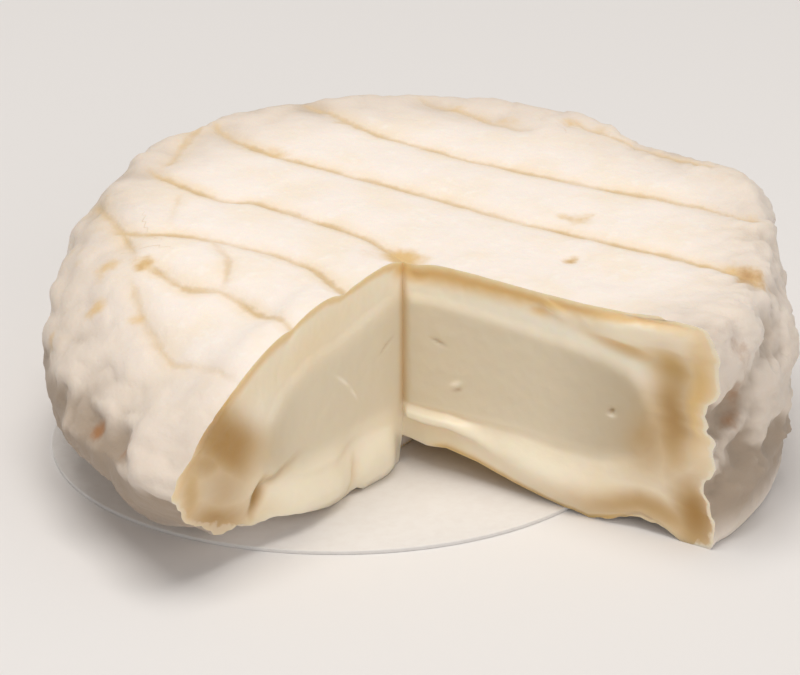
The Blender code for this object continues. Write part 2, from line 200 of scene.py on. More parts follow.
# What else marks the cuts, in millimetres: reach and height of its middle, half sizes, turn in
# degrees, how square it is, how far it stands out, and how brown, golden and pale it is.
CUT_MARKS = {
    "right": (
        (0.2, 20.8, 1.8, 1.2, 0, 2, -0.1, 0.1, 1, 0),
        (26, 19.9, 5.4, 1.35, 2, 4, 0.65, 0, 0.12, 0.85),   # torn lip under the rind
        (24.4, 17.8, 4.2, 0.6, -9, 2, -0.55, 0.12, 0.8, 0),   # crease below the lip
        (29.2, 17, 2.4, 1.5, -25, 2, -0.55, 0.45, 1, 0),
        (29.4, 12.2, 2.2, 5.6, 4, 2, -0.35, 0.88, 0.7, 0),
        (27.4, 9.2, 2.4, 4.2, -12, 2, -0.15, 0.58, 0.3, 0),
        (32.1, 15.2, 1.5, 6.2, 0, 2, 0.1, 0.2, 0.95, 0),
        (30.2, 6.6, 1.9, 2.2, 0, 2, 0.45, 0, 0, 0.15),
        (31.8, 3, 2.4, 3.9, 0, 2, -0.35, 1, 0.6, 0),
        (27, 1.4, 8, 1.5, 0, 2, -0.1, 0.68, 0.6, 0),
        (15.6, 3.2, 5.8, 2.5, -7, 2, 1.1, 0, 0, 0.8),   # lower bulges
        (2.2, 4.2, 5.4, 1.2, -2, 4, 1, 0, 0, 0.9),
        (8.4, 3.6, 3.2, 1.2, -18, 2, 0.45, 0, 0, 0.5),
        (16.6, 20.2, 1.5, 0.55, -20, 3, 0.35, 0, 0, 1),   # a torn shred
        (15, 19.5, 1.1, 0.5, 0, 2, -0.2, 0.12, 0.8, 0),
        (4.1, 13.9, 0.8, 0.16, -16, 2, -0.25, 0.3, 0, 0),   # cracks, flecks and a pit
        (6.1, 10, 0.6, 0.22, 25, 2, 0.18, 0, 0, 1),
        (6.3, 9.4, 0.5, 0.16, 20, 2, -0.2, 0.35, 0, 0),
        (23.1, 11.5, 0.36, 0.22, 30, 2, -0.35, 0.5, 0, 0),
        (23.1, 11, 0.4, 0.2, 0, 2, 0.12, 0, 0, 0.8),
    ),
    "left": (
        (0.2, 20.8, 1.4, 1, 0, 2, -0.1, 0.1, 1, 0),
        (14.5, 17.8, 11, 2.2, -14, 2, 0, 0, 0.34, 0),
        (26.8, 12.4, 5.5, 3, 42, 3, -0.12, 0.96, 0.5, 0),   # browned under the rind
        (27.3, 15.9, 2.4, 0.9, -46, 2, 0, 0.42, 1, 0),
        (29.7, 11.6, 3.4, 1.9, 12, 2, 0, 0.72, 0.4, 0),
        (28.2, 8.6, 4.6, 3.6, 30, 2, 0.5, 0.6, 0.14, 0),
        (32.4, 9.4, 1.4, 4.4, 14, 2, 0, 0.52, 0.7, 0),
        (28.8, 5.4, 5.2, 2, 26, 2, -0.2, 0.88, 0.45, 0),
        (22.9, 4.6, 2.2, 0.7, -56, 2, -0.62, 0.95, 0.5, 0),   # crease beside the lobes
        (20.4, 6.1, 3.2, 0.5, -18, 2, -0.45, 0.25, 0.2, 0),
        (15.6, 3.1, 5.4, 3, -4, 4, 1.0, 0, 0, 0.5),
        (4.6, 2.8, 3.9, 3.2, 4, 4, 0.85, 0, 0, 0.55),
        (9.3, 1.6, 0.5, 2, 12, 2, -0.55, 0.15, 0.15, 0),
        (2.7, 13.5, 1.2, 0.15, -22, 2, -0.3, 0.25, 0, 0),
        (9.9, 12.4, 1.2, 0.2, 42, 2, 0.2, 0, 0, 0.8),
        (8.3, 10.6, 0.9, 0.16, 55, 2, 0.15, 0, 0, 0.7),
    ),
}

# How gently each cut's paste turns firm, how far from the apex its relief is calm, and how far outside
# the heart the pale band round it lies and how wide it is, in millimetres. That band is partly a paler
# cream and partly a painted highlight along the heart's edge.
HEART_SOFTNESS = {"right": 1.0, "left": 1.8}
APEX_CALM = {"right": 1.2, "left": 4.5}
GLOW = {"right": (0.9, 1.0), "left": (2.4, 2.6)}

# The golden rim along the bottom of a cut, and the heights and reaches between which it comes
# and goes, in millimetres.
UNDER_RIM = {"right": 0.9, "left": 0.0}
UNDER_RIM_THICK, UNDER_RIM_BROWN = 0.42, 0.6
UNDER_RIM_HEIGHTS, UNDER_RIM_REACHES = (7, 5), ((2.5, 5.5), (27, 24))

# The crust at the rim of a cut: the reaches and heights between which it comes in, in
# millimetres, and how white it is.
CRUSTED = {"right": ((30.6, 32.1), (30.0, 28.0), 0.85), "left": ((23.6, 25.1), (11.5, 9.5), 0.40)}

# The golden line under the rind on each cut, in millimetres: reach, depth under the rind, half
# width, and strength.
GOLDEN_LINES = {
    "right": (
        (-4, 1.05, 1.0, 1.0), (7, 1.05, 0.95, 1.0), (14, 0.9, 0.75, 1.0), (20, 0.7, 0.6, 0.9),
        (26, 0.45, 0.35, 0.8), (31, 0.8, 0.8, 0.35), (36, 1.0, 1.0, 0.3),
    ),
    "left": (
        (-4, 0.7, 0.7, 0.9), (3, 0.4, 0.45, 0.75), (12, 0.3, 0.4, 0.65), (22, 0.5, 0.6, 0.7),
        (34, 0.8, 0.9, 0.6),
    ),
}

# The cut faces in millimetres: how far the heart stands out, how the golden line and the line
# down the apex lie, and the heights and reaches between which they come in.
HEART_RISE, HEART_EDGE = 0.30, (-0.6, 0.6)
GOLDEN_SINK, GOLDEN_RAGGED, GOLDEN_BROWN = 0.22, 0.15, 0.14
APEX_LINE, APEX_BROWN, APEX_GOLDEN = 0.5, 0.30, 0.5
GOLDEN_HEIGHTS, GLOW_HEIGHTS, APEX_HEIGHTS = (8, 11), (10, 13), (5, 6.5)
RIM_CALM = (0.2, 1.2)
# Painted shade on the firm heart: the reaches between which it turns darker and greyer towards its far
# end.
END_SHADE_REACHES = (14, 27)
CUT_ROUGHNESS = 0.05
NO_HEART = -4.0
NO_CRUST = 5.0

# Spots on the rind, in millimetres: place from the middle of the wheel, radius, depth, and how brown and
# how golden they are. One, high in a dent on the right-hand side, is painted shade.
SPOTS = (
    (15.2, 4.6, 22, 1.5, 0.15, 0.18, 0.55),
    (13.8, 5.4, 22, 0.9, 0.15, 0.1, 0.5),
    (14.1, -4.8, 21.6, 1.1, 0.25, 0.3, 0.62),
    (-14.1, 21.1, 22.4, 1.7, 0.1, 0, 0.48),
    (-1.7, -3.7, 21.6, 2.3, 0, 0.12, 1),
    (31, -7.4, 21.1, 2, 0.1, 0.55, 0.8),
    (26.6, -5.8, 21.4, 1.4, 0, 0.1, 0.5),
    (-26, -3.6, 20.7, 1.3, 0.1, 0.32, 0.75),
    (-29.6, -2.4, 19.8, 1.3, 0, 0, 0.55),
    (-30.2, -7.5, 17.6, 1.4, 0, 0.1, 0.7),
    (-29.5, -20.9, 11.6, 1.15, 0.25, 0.95, 0.1),
    (29.1, -19.9, 13.2, 1.5, 0, 0.52, 0),
    (-26.8, -25.4, 11.4, 1.2, 0, 0.5, 0.1),
    (-26.2, -11.1, 18.3, 1, 0, 0, 0.5),
    (-34.6, -6.7, 14.1, 1.3, 0, 0.05, 0.5),
    (-23.5, 26, 22.1, 1.3, 0, 0, 0.5),
    (4, 32.3, 22.4, 1.4, 0, 0.05, 0.45),
    (8.9, 28.9, 22.4, 1.3, 0, 0.05, 0.5),
    (15.1, 28.2, 22.4, 1.3, 0, 0.05, 0.55),
    (18.1, 26.2, 22.6, 1.4, 0, 0.05, 0.5),
    (29.2, -6.4, 21.5, 1.5, 0, 0.1, 0.6),
    (24, -4.2, 21.6, 1.5, 0, 0, 0.38),
    # painted shade: a faint brown spot standing for the shade in a dent high on the right-hand side
    (29.3, -20.1, 19, 1.8, 0.1, 0.36, 0.1),
    (32.3, 4.9, 21.3, 1.3, 0, 0.15, 0.5),
    (-7.9, 28.6, 22.5, 1.2, 0, 0.05, 0.45),
    (-19.2, -22.3, 16.3, 0.32, 0.2, 0.9, 0),
    (19.3, -13.4, 21.3, 0.35, 0.05, 0.55, 0),
)

# Grooves of the rack, and finer ones beside them, in millimetres: depth, and points that each
# runs through, from the middle of the wheel.
GROOVES = {
    "rack groove": (
        (0.40, (15, 30.0), (18.3, 25.2), (22.4, 21.9), (26.0, 19.4), (30, 16.8)),
        (0.42, (-0.5, 36), (1.4, 33.2), (4.4, 31.6), (8.2, 28.4), (12.5, 26)),
        (
            0.45, (-13, 34.3), (-10.4, 32.6), (-7.6, 29.5), (-4.2, 25.8), (-0.9, 23.3), (5.5, 18.9),
            (12.7, 14.9), (18.6, 11.8), (26.9, 8), (33.4, 4),
        ),
        (
            0.55, (-20.8, 29.5), (-19.4, 26), (-16.6, 22.6), (-11.3, 18.5), (-4.3, 14.1), (1.7, 10),
            (8.9, 5), (15.1, 1.3), (20.4, -1.9), (27.2, -5.6), (32.4, -8.8),
        ),
        (
            0.55, (-27.2, 18), (-24.8, 14.7), (-22, 12), (-19.3, 9.7), (-15.6, 8.7), (-9.9, 4.7),
            (-5.5, 1.2), (-1.6, -3.8), (1.2, -7.4),
        ),
        (
            0.50, (-30.2, 4.9), (-28.4, 2.8), (-26.0, 1.8), (-22.4, 1.2), (-18.7, -0.2), (-14, -2.8),
            (-10.6, -5.6), (-8, -9.8), (-5.6, -14.6),
        ),
        (
            0.50, (-26.4, -3.2), (-24.2, -5.6), (-21.6, -8.4), (-18.6, -9.6), (-15.8, -12.8),
            (-11.8, -17.9), (-8.8, -22.0),
        ),
    ),
    "fine groove": (
        (0.38, (-21.4, 29.0), (-22.6, 25.5), (-23.5, 21.9), (-24.3, 18.9), (-25.6, 16.4)),
        (
            0.45, (-32.2, 13.5), (-31.5, 11.0), (-30.3, 7.5), (-28.8, 3.7), (-27.6, 0.4),
            (-26.6, -2.6),
        ),
        (0.16, (-23.0, 11.6), (-23.4, 7.5), (-23.8, 3.0)),
        (0.34, (-20.6, 2.2), (-19.9, 0.2), (-18.2, -3.6), (-18.0, -7.6), (-18.9, -10.4)),
        (
            0.32, (-27.4, -4.8), (-26.0, -10.4), (-24.6, -14.2), (-22.8, -18.0), (-20.2, -20.2),
            (-16.2, -24.6),
        ),
    ),
}
GROOVE_PROFILE = ((0.8 * MM, 0.50), (2.1 * MM, 0.55))      # half widths, and their shares of the depth
GROOVE_FADE, GROOVE_EDGE = 3.2 * MM, 0.8 * MM
GROOVE_TAPER = 3.0 * MM
GROOVE_STEPS = 8

# The noise in the smaller relief: grain in millimetres, octaves, flatness and seed.
WANDER = (3.0, 2, 1.0, 2.0)
PILLOWS = (6.5, 3, 1.0, 3.0)
CREASES = (4.6, 2, 1.5, 5.0)
PIMPLES = (1.3, 2, 1.0, 8.0)
FURROWS = (3.0, 2, 1.4, 17.0)
TORN = (3.0, 3, 1.0, 14.0)
RAGGED = (1.3, 2, 1.0, 21.0)

# How far each of them moves the rind in millimetres, and how much more at the right.
WANDER_WIDTH, PILLOW_HEIGHT, PIMPLE_HEIGHT = 0.22, 0.14, 0.08
CREASE_HEIGHT, CREASE_AT_RIGHT, CLEFT_DEPTH, CLEFT_SHARPNESS = 0.30, 0.15, 0.22, 3.0
FURROW_DEPTH, FURROW_AT_RIGHT, FURROW_SHARPNESS = 0.10, 0.18, 3.5

# The ragged rim of each cut: how far it moves and the heights between which it comes in, and
# how deep it reaches and from where outward, in millimetres.
TORN_RIMS = {"right": (0.75, (18, 13)), "left": (0.55, (11, 6))}
TORN_REACH, TORN_FROM = 1.6, (20, 24)

# A spot is taller than wide and its edge uneven.
SPOT_FLAT, SPOT_RAGGED = 0.6, 0.5

# How far up the rind faces where the top comes in, and the directions in radians between
# which the right-hand side comes and goes.
TOP_FACING = (1 / 6, 7 / 12)
AT_RIGHT = ((-16 / 15, -0.4), (1.0, 0.0))

# Gold under the arches: how far down it faces, and how near the apex in millimetres.  Gold on
# the shoulder: strength, how far up it faces, and direction and width in radians.
ARCH_GOLD = ((-0.2, -0.6), (22.4, 6.4))
SHOULDER_GOLD = (0.28, (0.75, 0.22), (math.radians(160), 0.9))

# Painted shade on the side: strength, heights in millimetres between which it comes in, and direction and
# width in radians, or the directions between which it comes and goes.
LEFT_SHADES = (
    (1.3, (15.2, 9.2), (math.radians(-164), 0.6)),
    (1.8, (10.5, 7.5), (math.radians(-143), 0.45)),
)
RIGHT_SHADE = (1.6, (9.5, 4.5), ((-0.9, -0.6), (0.5, 0.1)))
# Painted light on the right-hand shoulder: the side's greyer tint is taken off where the light falls.
PAINTED_LIGHT_SHOULDER = (0.3, (15, 18.5), ((-0.75, -0.45), (1.3, 0.9)))
# Painted shade in the rind's hollows: its middle value, and the share of the folds' depth that darkens
# it.
PAINTED_SHADE_MIDDLE, FOLD_SHARE = 0.5, 0.8

# The mesh: squares of the cut faces before they are halved, and sections round the wheel.
BLANK_SIZE = 36 * MM
GRID = (80, 56)
HALVES = 2
TURNS = 280
CELLS = (GRID[0] * HALVES, GRID[1] * HALVES)
CUT_COLUMNS = {"right": 0, "left": TURNS}
SWEEP = 2 * math.pi - (RIGHT_CUT - LEFT_CUT)
SLACK = SWEEP / TURNS / 8
SIDE_STARTS = 0.80               # the share of the reach where the top and the foot hand over
PROFILE_STEPS = 260
REACH_ROUNDS = 30
SKIN_FOLLOWS = 4                 # how soon the cut faces stop following the rind's relief
NEAR_NOTHING = 0.01 * MM

CAMERA_LENS = 199.8
CAMERA_ELEVATION = math.radians(24)
CAMERA_DISTANCE = 420 * MM
CAMERA_AIM = Vector((-1.855, -7.02, 13.16)) * MM
LIGHT_AIM = Vector((0, 0, 10)) * MM

# Settings that several nodes share.
SMOOTH = {"interpolation_type": "SMOOTHSTEP"}
MULTIPLY = {"operation": "MULTIPLY"}
MULTIPLY_ADD = {"operation": "MULTIPLY_ADD"}


def linear(colour):
    """An sRGB hex colour as linear light with full alpha."""
    parts = [int(colour[i:i + 2], 16) / 255 for i in (1, 3, 5)]
    return tuple(p / 12.92 if p <= 0.04045 else ((p + 0.055) / 1.055) ** 2.4 for p in parts) + (1.0,)


def ease(share):
    """Nought to one, with level ends."""
    share = np.clip(share, 0.0, 1.0)
    return share * share * (3 - 2 * share)


def between(value, begin, end):
    """Nought at one value and one at another, with level ends."""
    return ease((value - begin) / (end - begin))


def bell(gap):
    """One at nought, fading out evenly on both sides."""
    return np.exp(-gap ** 2)


def turn_gap(angle, other):
    """The smallest angle between two directions."""
    return np.abs((angle - other + math.pi) % (2 * math.pi) - math.pi)


def towards(azimuth, where, width):
    """One in a direction, fading out on both sides of it."""
    return bell(turn_gap(azimuth, where) / width)


def sinking(azimuth, reach):
    """How far the side has sunk: 1 at the left-hand cut, fading out round the back."""
    past_cut = (LEFT_CUT - azimuth) % (2 * math.pi)
    over_notch = ease(1 - (2 * math.pi - past_cut) / (RIGHT_CUT - LEFT_CUT))
    return np.where(past_cut > math.pi * 1.5, over_notch, ease(1 - past_cut / reach))


def outline_radius(azimuth):
    """The wheel's outermost reach in one direction."""
    across = WHEEL_HALF_DEPTH * np.cos(azimuth)
    along = WHEEL_HALF_WIDTH * np.sin(azimuth)
    radius = WHEEL_HALF_WIDTH * WHEEL_HALF_DEPTH / np.hypot(across, along)
    for where, width, amount in OUTLINE_LOBES:
        radius = radius * (1 + amount * towards(azimuth, math.radians(where), math.radians(width)))
    return radius


def side_shape(azimuth):
    """The section's five values in each direction."""
    shape = {}
    for key, crisp, sunk in zip(SECTION, CRISP, SUNK):
        reach = UNDERCUT_REACH if key in ("foot", "tuck") else TOP_SINK_REACH
        shape[key] = crisp + (sunk - crisp) * sinking(azimuth, reach)
    for where, width, local in LOCAL_SHAPES:
        near = towards(azimuth, math.radians(where), math.radians(width))
        for key, value in zip(SECTION, local):
            shape[key] = shape[key] + (value - shape[key]) * near
    return shape


def share_of_radius(x, y):
    """Direction, and distance as a share of the outline, of points from the wheel's middle."""
    azimuth = np.arctan2(y, x)
    return azimuth, np.hypot(x, y) / outline_radius(azimuth)


def turned(share, start, roundness):
    """How much of its height the section keeps on the way out, past where it starts to turn."""
    past = np.clip(share - start, 0.0, 1 - start) / (1 - start)
    return np.clip(1 - past ** 2, 0.0, 1.0) ** (roundness / 2)


def surface_height(x, y):
    """Height of the top and shoulder."""
    azimuth, share = share_of_radius(x, y)
    shape = side_shape(azimuth)
    level = APEX_HEIGHT + TOP_RISE * (y - APEX[1])
    from_corner = np.hypot(x - CORNER_PLACE[0], y - CORNER_PLACE[1])
    level = level + CORNER_RISE * bell(from_corner / CORNER_REACH)
    waist = shape["waist"] * APEX_HEIGHT
    return waist + (level - waist) * turned(share, shape["shelf"], shape["shoulder"])


def underside_height(x, y):
    """Height of the tucked-in foot, nought where the cheese lies flat."""
    azimuth, share = share_of_radius(x, y)
    shape = side_shape(azimuth)
    return shape["waist"] * APEX_HEIGHT * (1 - turned(share, shape["foot"], shape["tuck"]))


def outer_reach(angle):
    """How far the outline lies from the apex in each direction."""
    way = np.array([np.cos(angle), np.sin(angle)])
    reach = np.full_like(angle, WHEEL_HALF_WIDTH)
    for _ in range(REACH_ROUNDS):
        reach = reach / share_of_radius(*(APEX[:, None] + reach * way))[1]
    return reach


def section_lines(angle):
    """Top, side and bottom lines of the section in one direction, as (reach, height) rows."""
    across, up = CELLS
    out = outer_reach(np.array([angle]))[0]
    quarter = np.linspace(0.0, math.pi / 2, PROFILE_STEPS)
    way = np.array([[math.cos(angle)], [math.sin(angle)]])
    reach_top, reach_low = out * np.sin(quarter), out * np.cos(quarter)
    height_top = surface_height(*(APEX[:, None] + reach_top * way))
    height_low = underside_height(*(APEX[:, None] + reach_low * way))
    reach = np.concatenate((reach_top, reach_low[1:]))
    height = np.concatenate((height_top, height_low[1:]))
    travelled = np.concatenate(([0.0], np.cumsum(np.hypot(np.diff(reach), np.diff(height)))))
    shoulder = np.interp(SIDE_STARTS * out, reach_top, travelled[:PROFILE_STEPS])
    foot = np.interp(-SIDE_STARTS * out, -reach_low, travelled[PROFILE_STEPS - 1:])
    lines = []
    for begin, end, steps in (
        (0, shoulder, across), (shoulder, foot, up), (foot, travelled[-1], across),
    ):
        stops = np.linspace(begin, end, steps + 1)
        lines.append(np.stack([np.interp(stops, travelled, row) for row in (reach, height)], -1))
    top, side, low = lines
    return top, side[::-1], low[::-1]


def add_cut_face(angle):
    """An upright gridded square with one edge on the apex."""
    middle = BLANK_SIZE / 2
    bpy.ops.mesh.primitive_grid_add(
        x_subdivisions=GRID[0], y_subdivisions=GRID[1], size=BLANK_SIZE,
        location=(middle * math.cos(angle), middle * math.sin(angle), middle),
        rotation=(math.pi / 2, 0, angle),
    )


def select(mesh, kind, wanted):
    """Select the edges or faces for which a test holds, and nothing else."""
    bpy.ops.mesh.select_mode(type=kind)
    bpy.ops.mesh.select_all(action="DESELECT")
    shape = bmesh.from_edit_mesh(mesh)
    for item in shape.edges if kind == "EDGE" else shape.faces:
        item.select_set(wanted(item))
    bmesh.update_edit_mesh(mesh)


def outer_edge(edge):
    """Whether an edge lies on the square's border, away from the apex."""
    far = max(math.hypot(end.co.x, end.co.y) for end in edge.verts)
    return edge.is_boundary and far > NEAR_NOTHING


def cut_square(face):
    """Whether a face is one of the squares of a cut face."""
    middle = face.calc_center_median()
    angle = math.atan2(middle.y, middle.x)
    margin = BLANK_SIZE / GRID[1] / 4
    inside = margin < middle.z < BLANK_SIZE - margin and middle.xy.length < BLANK_SIZE - margin
    return inside and min(abs(angle - LEFT_CUT), abs(angle - RIGHT_CUT)) < SLACK


def spun_blank():
    """A square's outline spun about the apex and closed with a gridded face at each cut."""
    bpy.ops.object.select_all(action="DESELECT")
    add_cut_face(RIGHT_CUT)
    blank = bpy.context.object
    bpy.ops.object.transform_apply(location=True, rotation=True, scale=True)
    bpy.ops.object.mode_set(mode="EDIT")
    select(blank.data, "EDGE", outer_edge)
    bpy.ops.mesh.spin(steps=TURNS, dupli=False, angle=-SWEEP, center=(0, 0, 0), axis=(0, 0, 1))
    bpy.ops.mesh.select_mode(type="FACE")
    add_cut_face(LEFT_CUT)
    bpy.ops.mesh.select_all(action="SELECT")
    bpy.ops.mesh.remove_doubles(threshold=NEAR_NOTHING / 10)
    select(blank.data, "FACE", cut_square)
    bpy.ops.mesh.subdivide(number_cuts=HALVES - 1)
    bpy.ops.mesh.select_all(action="SELECT")
    bpy.ops.mesh.normals_make_consistent(inside=False)
    bpy.ops.object.mode_set(mode="OBJECT")
    return blank


def fetched(items, key, kind=float, width=1):
    """One property of all of a mesh's items, as an array."""
    found = np.empty(len(items) * width, kind)
    items.foreach_get(key, found)
    return found.reshape(-1, width) if width > 1 else found


def put(mesh, points):
    """Move the mesh's vertices."""
    mesh.vertices.foreach_set("co", points.ravel())
    mesh.update()


def rough(points, grain, octaves, flatness, seed):
    """Smooth noise between about -1 and 1."""
    spots = points * np.array([1, 1, flatness]) / (grain * MM) + np.array([seed, 0, 0])
    return np.array([noise.fractal(Vector(spot), 1.0, 2.0, octaves) for spot in spots])


def beside_line(points, line):
    """Distance to a run of straight pieces, which side it is on, and how far along it."""
    nearest, side = np.full(len(points), 1.0), np.ones(len(points))
    along, travelled = np.zeros(len(points)), 0
    for begin, end in zip(line, line[1:]):
        run = end - begin
        length = math.hypot(*run)
        share = np.clip(((points - begin) @ run) / length ** 2, 0, 1)
        gap = points - begin - share[:, None] * run
        away = np.hypot(gap[:, 0], gap[:, 1])
        nearer = away < nearest
        nearest = np.where(nearer, away, nearest)
        side = np.where(nearer, np.sign(run[0] * gap[:, 1] - run[1] * gap[:, 0]), side)
        along = np.where(nearer, travelled + share * length, along)
        travelled += length
    return nearest, side, along


def smooth_line(points):
    """A run of straight pieces rounded through points given in millimetres."""
    points = np.array(points, float) * MM
    ends = np.vstack((2 * points[0] - points[1], points, 2 * points[-1] - points[-2]))
    share = np.linspace(0, 1, GROOVE_STEPS, endpoint=False)[:, None]
    run = [
        0.5 * (2 * second + (third - first) * share
               + (2 * first - 5 * second + 4 * third - fourth) * share ** 2
               + (3 * second - first - 3 * third + fourth) * share ** 3)
        for first, second, third, fourth in zip(ends, ends[1:], ends[2:], ends[3:])
    ]
    return np.vstack((*run, points[-1]))


def depth_inside(points, outline):
    """How far inside a closed outline in millimetres each point lies, less than nought outside."""
    closed = np.vstack((outline, outline[:1])) * MM
    inside = np.zeros(len(points), bool)
    for begin, end in zip(closed, closed[1:]):
        spans = (begin[1] > points[:, 1]) != (end[1] > points[:, 1])
        with np.errstate(divide="ignore", invalid="ignore"):
            share = (points[:, 1] - begin[1]) / (end[1] - begin[1])
            inside ^= spans & (points[:, 0] < begin[0] + share * (end[0] - begin[0]))
    return beside_line(points, closed)[0] * np.where(inside, 1, -1)


class Wheel:
    """The cheese's vertices while they are shaped, placed from the middle of the wheel."""

    def __init__(self, piece):
        self.mesh = piece.data
        start = fetched(self.mesh.vertices, "co", width=3)
        reach = np.hypot(start[:, 0], start[:, 1])
        turn = (np.arctan2(start[:, 1], start[:, 0]) - RIGHT_CUT + SLACK) % (2 * math.pi) - SLACK
        on_axis = reach < NEAR_NOTHING
        self.column = np.where(on_axis, 0, np.rint(turn / SWEEP * TURNS)).astype(int)
        self.across = np.rint(reach / BLANK_SIZE * CELLS[0]).astype(int)
        self.up = np.rint(start[:, 2] / BLANK_SIZE * CELLS[1]).astype(int)
        self.share_across, self.share_up = self.across / CELLS[0], self.up / CELLS[1]
        self.on_cut = {name: (self.column == own) | on_axis for name, own in CUT_COLUMNS.items()}
        self.skin = (self.share_up == 0) | (self.share_up == 1) | (self.share_across == 1)
        self.drape()

    def drape(self):
        """Lay every vertex on the profile, and those of the cut faces evenly within it."""
        angles = RIGHT_CUT + SWEEP * np.arange(TURNS + 1) / TURNS
        tops, sides, lows = (np.array(lines) for lines in zip(*(section_lines(a) for a in angles)))
        across, up = self.share_across[:, None], self.share_up[:, None]
        low, top = lows[self.column, self.across], tops[self.column, self.across]
        side = sides[self.column, self.up]
        edge = np.stack([np.zeros(len(low)), self.share_up * APEX_HEIGHT], -1)
        corners = (1 - up) * ((1 - across) * lows[self.column, 0] + across * lows[self.column, -1])
        corners += up * ((1 - across) * tops[self.column, 0] + across * tops[self.column, -1])
        section = (1 - up) * low + up * top + (1 - across) * edge + across * side - corners
        self.reach, self.height = section.T
        angle = angles[self.column]
        way = np.stack([np.cos(angle), np.sin(angle)], -1)
        self.points = np.column_stack([APEX + self.reach[:, None] * way, self.height])
        self.under_rind = np.zeros(len(self.points))
        for name, column in CUT_COLUMNS.items():
            line = np.vstack((tops[column], sides[column][::-1], lows[column][::-1]))
            face = self.on_cut[name]
            self.under_rind[face] = beside_line(section[face], line[::2])[0]

    def spread_over_cuts(self, moves):
        """Let the inside of each cut face follow the moves of the rind round it."""
        across, up = CELLS
        for face in self.on_cut.values():
            members = np.where(face)[0]
            table = np.full((across + 1, up + 1), -1)
            table[self.across[members], self.up[members]] = members
            inner = members[~self.skin[members]]
            k, m = self.across[inner], self.up[inner]
            top, low, side = moves[table[k, up]], moves[table[k, 0]], moves[table[across, m]]
            to_top = (self.share_up[inner] ** SKIN_FOLLOWS)[:, None]
            to_low = ((1 - self.share_up[inner]) ** SKIN_FOLLOWS)[:, None]
            to_side = (self.share_across[inner] ** SKIN_FOLLOWS)[:, None]
            moves[inner] = (
                to_top * top + to_low * low + to_side * side
                - to_top * to_side * moves[table[across, up]] - to_low * to_side * moves[table[across, 0]]
            )
        return moves

    def rind_normals(self):
        """The direction out of the rind at its vertices, without the cut faces."""
        put(self.mesh, self.points)
        faces = self.mesh.polygons
        corners = fetched(self.mesh.loops, "vertex_index", int)
        starts, area = fetched(faces, "loop_start", int), fetched(faces, "area")
        facing = fetched(faces, "normal", width=3)
        counts = np.diff(np.append(starts, len(corners)))
        self.face_is_cut = np.zeros(len(starts), bool)
        for on_cut in self.on_cut.values():
            self.face_is_cut |= np.minimum.reduceat(on_cut[corners], starts)
        weighted = facing * (area * ~self.face_is_cut)[:, None]
        found = np.zeros_like(self.points)
        np.add.at(found, corners, np.repeat(weighted, counts, axis=0))
        length = np.linalg.norm(found, axis=1)
        return found / np.maximum(length, 1e-12)[:, None]


def fold_rind(wheel):
    """Folds, lumps and hollows of the rind on the side, the same as the solids have."""
    points = wheel.points
    azimuth, share = share_of_radius(points[:, 0], points[:, 1])
    on_side = between(share, SIDE_BEGINS, SIDE_FULL) * ease(points[:, 2] / FOLD_CALM)
    spots = points * np.array([1, 1, FOLD_UPRIGHT]) / FOLD_SIZE + np.array([SEED, 0, 0])
    depth = np.array([
        noise.noise(spot) + FOLD_FINER_SHARE * noise.noise(spot * FOLD_FINER)
        for spot in map(Vector, spots)
    ])
    move = FOLD_DEPTH * depth * on_side
    for *place, radius, height in LUMPS:
        gap = np.linalg.norm(points - np.array(place) * MM, axis=1) / (radius * MM)
        move += height * MM * bell(gap)
    outward = np.stack([np.cos(azimuth), np.sin(azimuth), np.full_like(azimuth, FOLD_UPWARD)], -1)
    wheel.points, wheel.on_side, wheel.fold = points + outward * move[:, None], on_side, move


def into_notch(name):
    """The direction along a cut, and the one that leaves its face."""
    angle = {"left": LEFT_CUT, "right": RIGHT_CUT}[name]
    along = np.array([math.cos(angle), math.sin(angle)])
    outward = np.array([-along[1], along[0]])
    return along, outward if name == "left" else -outward


def lift_foot(wheel):
    """Raise the underside onto the card and into the arches beside the cuts."""
    points = wheel.points
    past_card = np.hypot(*((points[:, :2] - CARD_MIDDLE) / CARD_HALF).T) - CARD_EDGE
    lift = CARD_LIFT * (1 - ease(past_card / CARD_FADE))
    from_apex = points[:, :2] - APEX
    for name, (depth, *line) in ARCHES.items():
        along, outward = into_notch(name)
        inside = from_apex @ -outward
        places_along, heights = np.array(line).T * MM
        arch = np.interp(from_apex @ along, places_along, heights)
        arch *= np.sqrt(np.clip(1 - (inside / depth) ** 2, 0, 1)) * ease(1 + inside / ARCH_LIP)
        lift = np.maximum(lift, arch)
    points[:, 2] += lift * (1 - ease(points[:, 2] / FOOT_HEIGHT))


def sag_cuts(wheel):
    """Let the ripe paste stand out of both cuts near the bottom."""
    points = wheel.points
    for name, amount in SAGS.items():
        along, outward = into_notch(name)
        from_apex = points[:, :2] - APEX
        reach = from_apex @ along
        near = bell(from_apex @ outward / SAG_DEPTH) * ease(reach / SAG_FADE)
        near *= ease((SAG_ENDS - reach) / SAG_FADE)
        stands_out = amount * bell((points[:, 2] - SAG_HEIGHT) / SAG_SPREAD) * near
        points[:, :2] += outward * stands_out[:, None]


